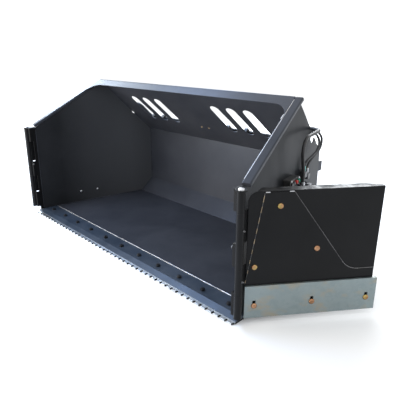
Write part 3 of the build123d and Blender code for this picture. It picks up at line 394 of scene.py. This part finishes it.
# ---------------------------------------------------------------- piece builders
def add_piece(name, mesh, material, body):
    """Wraps a mesh as a piece that rides on a body."""
    piece = bpy.data.objects.new(name, mesh)
    scene.collection.objects.link(piece)
    mesh.materials.append(material)
    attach(piece, body)
    return piece


def mesh_from(rings):
    """Skins a list of rings, each a list of points, into a tube with closed ends."""
    bm = bmesh.new()
    made = [[bm.verts.new(p) for p in ring] for ring in rings]
    count = len(rings[0])
    for first, second in zip(made, made[1:]):
        for i in range(count):
            face = bm.faces.new((first[i], first[(i + 1) % count], second[(i + 1) % count], second[i]))
            face.smooth = True
    bm.faces.new(made[0][::-1])
    bm.faces.new(made[-1])
    bmesh.ops.recalc_face_normals(bm, faces=bm.faces)
    mesh = bpy.data.meshes.new("skin")
    bm.to_mesh(mesh)
    bm.free()
    return mesh


BEAD_SIDES = 7
RING_GAP = 0.34                                  # distance between rings, as a share of the pitch
VALLEY = 0.82                                    # a ripple's lowest size, as a share of the radius
CREST = 0.22                                     # and what its middle adds
UNEVEN = 0.03
END_SHARE = 0.7                                  # first and last ring of a run
PITCH = 0.0065                                   # ripple pitches
EDGE_PITCH = 0.009
STITCH_PITCH = 0.010
LONG_PITCH = 0.012
RIM_PITCH = 0.014


def bead_mesh(points, radius, pitch):
    """A weld bead: overlapping ripples along straight runs."""
    rings = []
    travelled = 0.0
    for a, b in zip(points, points[1:]):
        along = (b - a).normalized()
        side = along.orthogonal().normalized()
        up = along.cross(side)
        steps = max(2, round((b - a).length / (pitch * RING_GAP)))
        for k in range(steps + 1):
            place = a.lerp(b, k / steps)
            phase = (travelled + (b - a).length * k / steps) / pitch
            swell = VALLEY + CREST * abs(math.sin(math.pi * phase)) + random.uniform(-UNEVEN, UNEVEN)
            size = radius * (swell if 0 < k < steps else END_SHARE * swell)
            ring = []
            for i in range(BEAD_SIDES):
                turn = 2 * math.pi * i / BEAD_SIDES
                ring.append(place + (side * math.cos(turn) + up * math.sin(turn)) * size)
            rings.append(ring)
        travelled += (b - a).length
    return mesh_from(rings)


def bead(name, points, radius, body="bucket", material=WELD_PAINT, pitch=PITCH):
    add_piece(name, bead_mesh(points, radius, pitch), material, body)


def bead_pair(name, points, radius, body="bucket", material=WELD_PAINT, pitch=PITCH):
    """The same bead on both sides; body is bucket, or a body's name without its side."""
    for side, place in SIDES:
        rides = body if body == "bucket" else side + "_" + body
        bead(side + "_" + name, [place(p) for p in points], radius, rides, material, pitch)


def lathe_mesh(profile, origin, axis, hexagon, sides):
    """Turns (radius, height) pairs about an axis. Rings whose index is in hexagon are six-sided."""
    axis = axis.normalized()
    side = axis.orthogonal().normalized()
    up = axis.cross(side)
    rings = []
    for index, (radius, height) in enumerate(profile):
        ring = []
        for i in range(sides):
            turn = 2 * math.pi * i / sides
            reach = radius
            if index in hexagon:
                reach = radius * math.cos(math.pi / 6) / math.cos((turn % (math.pi / 3)) - math.pi / 6)
            ring.append(origin + axis * height + (side * math.cos(turn) + up * math.sin(turn)) * reach)
        rings.append(ring)
    return mesh_from(rings)


def join_meshes(meshes):
    """One mesh made of several, which are removed."""
    bm = bmesh.new()
    for mesh in meshes:
        bm.from_mesh(mesh)
        bpy.data.meshes.remove(mesh)
    joined = bpy.data.meshes.new("joined")
    bm.to_mesh(joined)
    bm.free()
    return joined


CREASE = math.radians(35)                        # faces that meet at more than this keep their edge


def turned(name, shapes, material, body, sides=24):
    """One piece made of several turned shapes: each is (profile, origin, axis, hexagon rings)."""
    meshes = [lathe_mesh(*shape, sides) for shape in shapes]
    piece = add_piece(name, join_meshes(meshes), material, body)
    for polygon in piece.data.polygons:
        polygon.use_smooth = True
    piece.data.set_sharp_from_angle(angle=CREASE)


DOME_STEPS = 6
SKIRT = 0.0005                                   # a button head's rim goes this deep into its sheet


def dome(radius, height):
    """Profile of a button head."""
    curve = []
    for k in range(DOME_STEPS):
        turn = math.pi / 2 * k / DOME_STEPS
        curve.append((radius * math.cos(turn), height * math.sin(turn)))
    return [(radius, -SKIRT), *curve, (radius * 0.05, height)]


def hex_head(radius, height):
    """Profile of a hexagon head with a chamfered top."""
    return [(radius, 0.0), (radius, height * 0.85), (radius * 0.88, height), (radius * 0.4, height)]


HEX_RINGS = (0, 1)                               # six-sided rings of a hex head's profile, or a nut's
ROUND = ()

# ---------------------------------------------------------------- weld beads
HEAVY_R = 0.004                                  # bead radii
FILLET_R = 0.0035
SEAM_R = 0.0026
INSET = 0.0015                                   # distance from a bead's middle to its corner
TOP_GAP = 0.002                                  # the side welds end this much under the top corner

front_seam = [spot(sign * inner_x(SEAM_DEPTH), SEAM_DEPTH, INSET) for sign in (-1, 1)]
bead("floor_front_weld", front_seam, HEAVY_R, material=WELD_SEAM, pitch=LONG_PITCH)

corner_run = [
    side_spot(SEAM_DEPTH, INSET, -INSET),
    side_spot(BEND[0] - CHAMFER, INSET, -INSET),
    side_spot(BEND[0] - INSET, CHAMFER, -INSET),
    side_spot(BEND[0] - INSET, BEND[1], -INSET),
    side_spot(TOP_CORNER[0], TOP_CORNER[1] - TOP_GAP, -INSET),
]
bead_pair("side_weld", corner_run, FILLET_R)

RIM_RISE = (TOP_CORNER[1] - RIM_H0) / (TOP_CORNER[0] / math.cos(TAPER))
RIM_WELD_OFF = 0.0085                            # just clear of the side plate's outer face
RIM_WELD_ENDS = (0.07, 0.66)                     # depths
RIM_GLINT_ENDS = (0.06, 0.66)
SEAM_INSET = 0.0023                              # from the rim tube's edge to the bead's middle


def rim_spot(depth, off, below):
    """Point beside the side plate, a square distance below the sloping rim."""
    drop = below / math.cos(math.atan(RIM_RISE))
    return side_spot(depth, RIM_H0 + depth / math.cos(TAPER) * RIM_RISE - drop, off)


bead_pair("rim_weld", [rim_spot(depth, RIM_WELD_OFF, TUBE_H) for depth in RIM_WELD_ENDS], FILLET_R)
# weld beads along the rim tubes' top edges in the bright weld tone, which paints a glint along those edges
right_glint_run = [rim_spot(depth, SEAM_INSET, SEAM_INSET) for depth in RIM_GLINT_ENDS]
left_glint_run = [flip(rim_spot(depth, TUBE_W - SEAM_INSET, SEAM_INSET)) for depth in RIM_GLINT_ENDS]
bead("right_rim_glint_weld", right_glint_run, SEAM_R, material=WELD_BRIGHT, pitch=RIM_PITCH)
bead("left_rim_glint_weld", left_glint_run, SEAM_R, material=WELD_BRIGHT, pitch=RIM_PITCH)

GUSSET_ENDS = ((0.525, 1.082), (0.488, 1.061))   # depth, height
GUSSET_OFF = -0.002                              # on the bucket's side of the plate's inner face
gusset_run = [side_spot(depth, height, GUSSET_OFF) for depth, height in GUSSET_ENDS]
bead_pair("gusset_weld", gusset_run, FILLET_R, material=WELD_BRIGHT)


def upright(x, depth, low, high):
    """The two ends of an upright bead."""
    return [spot(x, depth, low), spot(x, depth, high)]


POST_WELD_X = 1.2065                             # behind the hinge post, by the side plate's inner face
POST_WELD_DEPTH = 0.0425
POST_WELD_HEIGHTS = (0.01, 0.755)
CAP_WELD_X = 1.2045                              # by the post's inner face, under the cap
CAP_WELD_DEPTHS = (-0.012, 0.038)
CAP_WELD_HEIGHT = 0.7695
CAP_WELD_R = 0.0025
bead_pair("post_weld", upright(POST_WELD_X, POST_WELD_DEPTH, *POST_WELD_HEIGHTS), FILLET_R)
cap_run = [spot(CAP_WELD_X, depth, CAP_WELD_HEIGHT) for depth in CAP_WELD_DEPTHS]
bead_pair("post_cap_weld", cap_run, CAP_WELD_R)

SLANT_LOW = wing_spot(0.0485, FACE_BEHIND, 0.208)
SLANT_HIGH = wing_spot(0.1405, FACE_BEHIND, 0.736)
STITCHES = 9
STITCH_START = 0.15                              # shares of the distance from stitch to stitch
STITCH_END = 0.5
STITCH_GROWTH = 0.35                             # stitches get longer towards the top
STITCH_R = 0.0036
bead_pair("wing_slant_weld", [SLANT_LOW, SLANT_HIGH], SEAM_R, "wing", WELD_GREY, LONG_PITCH)
for k in range(STITCHES):
    low = (k + STITCH_START) / STITCHES
    high = (k + STITCH_END + STITCH_GROWTH * k / STITCHES) / STITCHES
    run = [SLANT_LOW.lerp(SLANT_HIGH, low), SLANT_LOW.lerp(SLANT_HIGH, high)]
    bead_pair("wing_slant_stitch_" + str(k), run, STITCH_R, "wing", WELD_TAN, STITCH_PITCH)

TOP_WELD_HEIGHT = 0.7405
TOP_WELD_LENGTH = 0.026
TOP_WELD_R = 0.0045
TOP_WELD_STARTS = (("a", 0.142), ("b", 0.272))   # along the wing
for name, start in TOP_WELD_STARTS:
    run = [wing_spot(along, FACE_BEHIND, TOP_WELD_HEIGHT) for along in (start, start + TOP_WELD_LENGTH)]
    bead_pair("wing_top_weld_" + name, run, TOP_WELD_R, "wing", WELD_BRIGHT)

FACE_TOP = Vector((0.298, 0.740))                # along the wing, over the floor
FACE_CORNER = Vector((0.640, 0.262))
FACE_TIP = Vector((0.793, 0.262))
FACE_CORNER_R = 0.115
FACE_ARC_STEPS = 8
FACE_WELD_R = 0.0034


def wing_curve():
    """The face plate's long slanted edge, its round corner and its level run to the tip."""
    before = (FACE_TOP - FACE_CORNER).normalized()
    after = (FACE_TIP - FACE_CORNER).normalized()
    half = before.angle(after) / 2
    reach = FACE_CORNER_R / math.tan(half)
    centre = FACE_CORNER + (before + after).normalized() * (FACE_CORNER_R / math.sin(half))
    first = FACE_CORNER + before * reach
    last = FACE_CORNER + after * reach
    begin = math.atan2(first.y - centre.y, first.x - centre.x)
    finish = math.atan2(last.y - centre.y, last.x - centre.x)
    arc = []
    for k in range(FACE_ARC_STEPS + 1):
        turn = begin + (finish - begin) * k / FACE_ARC_STEPS
        arc.append(centre + Vector((math.cos(turn), math.sin(turn))) * FACE_CORNER_R)
    return [FACE_TOP, *arc, FACE_TIP]


face_run = [wing_spot(p.x, FACE_BEHIND, p.y) for p in wing_curve()]
bead_pair("wing_edge_weld", face_run, FACE_WELD_R, "wing", WELD_GREY, EDGE_PITCH)

BEAM_WELD_HALF = 0.95
PROUD = 0.001                                    # distance from a bead's middle to the beam's faces
beam_low, beam_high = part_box("back_beam")
for level, height in (("top", beam_high.z + PROUD), ("foot", beam_low.z - PROUD)):
    ends = [Vector((x, beam_low.y + PROUD, height)) for x in (-BEAM_WELD_HALF, BEAM_WELD_HALF)]
    bead("beam_weld_" + level, ends, FILLET_R)

EAR_WELD_DEPTH = 1.1885                          # against the back sheet
EAR_WELD_HEIGHTS = (0.135, 0.56)
PLATE_WELD_DEPTH = 1.2695                        # against the quick-attach plate
PLATE_WELD_HEIGHTS = (0.15, 0.41)
for name in ("right_attach_ear", "left_attach_ear"):
    low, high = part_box(name)
    outer, inner = (high.x, low.x) if name.startswith("right") else (low.x, high.x)
    bead(name + "_weld", upright(outer, EAR_WELD_DEPTH, *EAR_WELD_HEIGHTS), HEAVY_R)
    bead(name + "_plate_weld", upright(inner, PLATE_WELD_DEPTH, *PLATE_WELD_HEIGHTS), HEAVY_R)

# ---------------------------------------------------------------- small bolts and nuts
PLATE_BOLT = (0.0105, 0.006)                     # radius and height of each head or nut
PLATE_NUT = (0.0115, 0.009)
MANIFOLD_BOLT = (0.009, 0.005)
CLAMP_BOLT = (0.0065, 0.005)
SET_SCREW = (0.0080, 0.007)
VALVE_BOLT = (0.0065, 0.006)
PLATE_BOLT_SPOTS = ((0.410, 0.104), (0.575, 0.099))    # depth, height
plate_bolts = []
plate_nuts = []
for depth, height in PLATE_BOLT_SPOTS:
    inside = side_spot(depth, height)
    outside = side_spot(depth, height, SIDE_SHEET)
    for place in (stay, flip):
        normal = place(SIDE_NORMAL)
        plate_bolts.append((dome(*PLATE_BOLT), place(inside), -normal, ROUND))
        plate_nuts.append((hex_head(*PLATE_NUT), place(outside), normal, HEX_RINGS))
turned("side_plate_bolts", plate_bolts, MATERIALS["bright_zinc"], "bucket")
turned("side_plate_nuts", plate_nuts, MATERIALS["bright_zinc"], "bucket")

MANIFOLD_BOLT_UP = 0.193                         # up the leaning back from the bend
LEFT_BOLT_INSET = 0.021                          # from the manifold's ends
RIGHT_BOLT_INSET = 0.022
manifold_low, manifold_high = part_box("manifold")
panel_bolts = []
for x in (manifold_low.x + LEFT_BOLT_INSET, manifold_high.x - RIGHT_BOLT_INSET):
    panel_bolts.append((dome(*MANIFOLD_BOLT), panel_spot(x, MANIFOLD_BOLT_UP, 0.0), -PANEL_OUT, ROUND))
turned("manifold_bolts", panel_bolts, WELD_TAN, "bucket")

CLAMP_XS = (-0.765, -0.626, -0.200, 0.200, 0.390, 0.765)
CLAMP_BOLT_UPS = (0.1215, 0.2015)
CLAMP_FACE = 0.054                               # out from the upper back's inner face
clamp_bolts = []
for x in CLAMP_XS:
    for up in CLAMP_BOLT_UPS:
        clamp_bolts.append((hex_head(*CLAMP_BOLT), panel_spot(x, up, CLAMP_FACE), PANEL_OUT, HEX_RINGS))
turned("clamp_bolts", clamp_bolts, MATERIALS["bright_zinc"], "bucket")

SCREW_SPOT = spot(1.2048, -0.012, 0.445)         # inner face of the right hinge post
set_screws = []
for place in (stay, flip):
    set_screws.append((hex_head(*SET_SCREW), place(SCREW_SPOT), place(Vector((-1, 0, 0))), HEX_RINGS))
turned("pin_set_screws", set_screws, WELD_GREY, "bucket")

NIPPLE_PROFILE = (
    (0.006, 0.0),
    (0.006, 0.004),
    (0.0035, 0.0045),
    (0.0028, 0.008),
    (0.0036, 0.0095),
    (0.0034, 0.0115),
    (0.001, 0.013),
)
NIPPLE_HEIGHTS = (0.267, 0.561)                  # on the wing's two hinge barrels
NIPPLE_TURN = WING_ANGLE - 0.9                   # they point forward of the wing
NIPPLE_SIDES = 12
for side, place in SIDES:
    out = place(Vector((math.cos(NIPPLE_TURN), math.sin(NIPPLE_TURN), 0)))
    nipples = []
    for height in NIPPLE_HEIGHTS:
        centre = place(Vector((WING_HINGE.x, WING_HINGE.y, FLOOR_Z + height)))
        nipples.append((NIPPLE_PROFILE, centre + out * BARREL_R, out, HEX_RINGS))
    turned(side + "_hinge_nipples", nipples, WELD_GREY, side + "_wing", NIPPLE_SIDES)

# ---------------------------------------------------------------- hose ends, valve caps and valve bolts
CRIMPS = 3
CRIMP_START = 0.015
CRIMP_PITCH = 0.006
HOSE_END_LENGTH = 0.034


def hose_end(origin, axis, hose_radius):
    """Swivel nut and crimped ferrule, from the port outward along the hose."""
    nut = hose_radius * 1.55
    shell = hose_radius * 1.32
    neck = shell * 0.8
    crest = shell * 1.02
    waist = shell * 0.93
    profile = [(nut, 0.0), (nut, 0.010), (neck, 0.0105), (neck, 0.013), (shell, 0.014)]
    for k in range(CRIMPS):
        start = CRIMP_START + CRIMP_PITCH * k
        profile += [(crest, start), (crest, start + 0.0034)]
        profile += [(waist, start + 0.004), (waist, start + 0.0054)]
    profile.append((hose_radius * 1.02, HOSE_END_LENGTH))
    return (profile, origin, axis, HEX_RINGS)


THICK_LINE = (0.182, 0.036)                      # up the leaning back and out from it
THIN_LINES = ((0.130, 0.034), (0.155, 0.034))
SUPPLY_PORT = (0.114, 0.030)
SUPPLY_SPREAD = 0.035
COUPLER_X = 0.290
manifold_ends = []
for x, sign in ((manifold_high.x, 1), (manifold_low.x, -1)):
    manifold_ends.append(hose_end(panel_spot(x, *THICK_LINE), Vector((sign, 0, 0)), HOSE_R))
    for line in THIN_LINES:
        manifold_ends.append(hose_end(panel_spot(x, *line), Vector((sign, 0, 0)), THIN_R))
supply_mid = (manifold_low.x + manifold_high.x) / 2
for x in (supply_mid - SUPPLY_SPREAD, supply_mid + SUPPLY_SPREAD):
    manifold_ends.append(hose_end(panel_spot(x, *SUPPLY_PORT), -PANEL_UP, THIN_R))
couplers_low, couplers_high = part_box("couplers")
coupler_y = (couplers_low.y + couplers_high.y) / 2
for x in (-COUPLER_X, COUPLER_X):
    manifold_ends.append(hose_end(Vector((x, coupler_y, couplers_high.z)), UPWARD, THIN_R))
turned("manifold_hose_ends", manifold_ends, FITTING_STEEL, "bucket")

PORTS = ((0.850, 0.670), (0.905, 0.646))         # along the side plate, over the floor
PORT_OFF = 0.032                                 # out from the side plate's inner face
BASE_PORT = 0.112                                # along the cylinder from its base pin
BOSS_RISE = 0.045
CYLINDER_BASE = spot(1.132, 0.820, 0.560)
LUG_PIVOT = wing_spot(0.142, 0.092, 0.560)
VALVE_FACE = 0.054                               # out from the side plate's inner face
VALVE_BOLT_ALONGS = (0.58, 0.70)
VALVE_BOLT_HEIGHTS = (0.670, 0.626)
CAPS = ((CAP_RED, 0.656), (CAP_GREEN, 0.692))    # colour, along the side plate
CAP_HEIGHT = 0.650
CAP_PROFILE = ((0.0125, 0.0), (0.0125, 0.012), (0.0105, 0.014), (0.004, 0.0142))


def valve_spot(along, height, off):
    """Point off metres outside the right side plate's inner face, measured along the plate."""
    return side_spot(along * math.cos(TAPER), height, off)


cylinder_axis = (LUG_PIVOT - CYLINDER_BASE).normalized()
boss_top = CYLINDER_BASE + cylinder_axis * BASE_PORT + UPWARD * BOSS_RISE
for side, place in SIDES:
    teal_port, silver_port = [place(valve_spot(along, height, PORT_OFF)) for along, height in PORTS]
    teal = [hose_end(teal_port, UPWARD, THIN_R)]
    turned(side + "_port_fitting", teal, FITTING_TEAL, "bucket")
    silver = [hose_end(silver_port, UPWARD, THIN_R), hose_end(place(boss_top), UPWARD, HOSE_R)]
    turned(side + "_hose_ends", silver, FITTING_STEEL, "bucket")
    outward = place(SIDE_NORMAL)
    for material, along in CAPS:
        cap = (CAP_PROFILE, place(valve_spot(along, CAP_HEIGHT, VALVE_FACE)), outward, ROUND)
        turned(side + "_plug_" + material.name, [cap], material, "bucket")
    face_bolts = []
    for height in VALVE_BOLT_HEIGHTS:
        for along in VALVE_BOLT_ALONGS:
            seat = place(valve_spot(along, height, VALVE_FACE))
            face_bolts.append((hex_head(*VALVE_BOLT), seat, outward, HEX_RINGS))
    turned(side + "_valve_bolts", face_bolts, MATERIALS["bright_zinc"], "bucket")

# ---------------------------------------------------------------- stage, light and camera
STAGE_REACH = 40.0
STAGE_DROP = 0.0005                              # the floor lies this much under the bucket
corners = [(x * STAGE_REACH, y * STAGE_REACH, 0) for x, y in ((-1, -1), (1, -1), (1, 1), (-1, 1))]
floor_mesh = bpy.data.meshes.new("stage_floor")
floor_mesh.from_pydata(corners, [], [(0, 1, 2, 3)])
stage_floor = bpy.data.objects.new("stage_floor", floor_mesh)
scene.collection.objects.link(stage_floor)
stage_floor.location.z = -STAGE_DROP
pale = Shader("pale_floor")
pale.link(Base_Color=pale.mix(pale.noise(0.8), (0.86, 0.86, 0.86), (0.9, 0.9, 0.9)))
pale.set(Roughness=0.9, Specular_IOR_Level=0.1)
floor_mesh.materials.append(pale.material)

SKY_COLOUR = (0.97, 0.985, 1.0, 1)
SKY_STRENGTH = 1.2
world = bpy.data.worlds.new("studio")
scene.world = world
world.use_nodes = True
background = world.node_tree.nodes["Background"]
background.inputs[0].default_value = SKY_COLOUR
background.inputs[1].default_value = SKY_STRENGTH


def area_light(name, place, aim, size, power, colour):
    """Rectangular lamp at a place, turned to its aim; size is across and up, power in watts."""
    data = bpy.data.lights.new(name, "AREA")
    data.shape = "RECTANGLE"
    data.size, data.size_y = size
    data.energy = power
    data.color = colour
    lamp = bpy.data.objects.new(name, data)
    scene.collection.objects.link(lamp)
    lamp.location = place
    lamp.rotation_mode = "QUATERNION"
    lamp.rotation_quaternion = (Vector(aim) - Vector(place)).to_track_quat("-Z", "Y")


area_light("overhead", (-1.6, -0.9, 3.4), (-0.2, -0.7, 0), (3.4, 1.0), 120, (0.44, 0.63, 1.0))
area_light("left_sky", (-5.2, 1.3, 3.0), (0, 0, 1.1), (2.6, 1.6), 170, (0.74, 0.86, 1.0))
area_light("behind", (-2.6, 5.2, 2.7), (0.8, 0.0, 0.8), (6.0, 2.0), 420, (0.92, 0.96, 1.0))
area_light("front_left", (-3.0, -4.6, 1.0), (0, 0.4, 0.7), (3.0, 1.6), 330, (1.0, 0.95, 0.89))

VIEW_PLACE = spot(2.59647, -1.64269, 1.47151)
VIEW_YAW = math.radians(-46.95)
VIEW_PITCH = math.radians(17.64)
VIEW_ROLL = math.radians(0.43)
SENSOR_WIDTH = 36.0                              # millimetres, like the lens
LENS = 37.98
SHIFT_X = 0.0503
SHIFT_Y = -0.0556
ahead = math.cos(VIEW_PITCH)
forward = Vector((math.sin(VIEW_YAW) * ahead, math.cos(VIEW_YAW) * ahead, -math.sin(VIEW_PITCH)))
level = Vector((math.cos(VIEW_YAW), -math.sin(VIEW_YAW), 0))
down = forward.cross(level)
right = level * math.cos(VIEW_ROLL) + down * math.sin(VIEW_ROLL)
below = down * math.cos(VIEW_ROLL) - level * math.sin(VIEW_ROLL)
camera_data = bpy.data.cameras.new("camera")
camera_data.sensor_width = SENSOR_WIDTH
camera_data.lens = LENS
camera_data.shift_x = SHIFT_X
camera_data.shift_y = SHIFT_Y
camera = bpy.data.objects.new("camera", camera_data)
scene.collection.objects.link(camera)
facing = Matrix((right, -below, -forward)).transposed().to_4x4()
camera.matrix_world = Matrix.Translation(VIEW_PLACE) @ facing
scene.camera = camera
scene.view_settings.view_transform = "Standard"
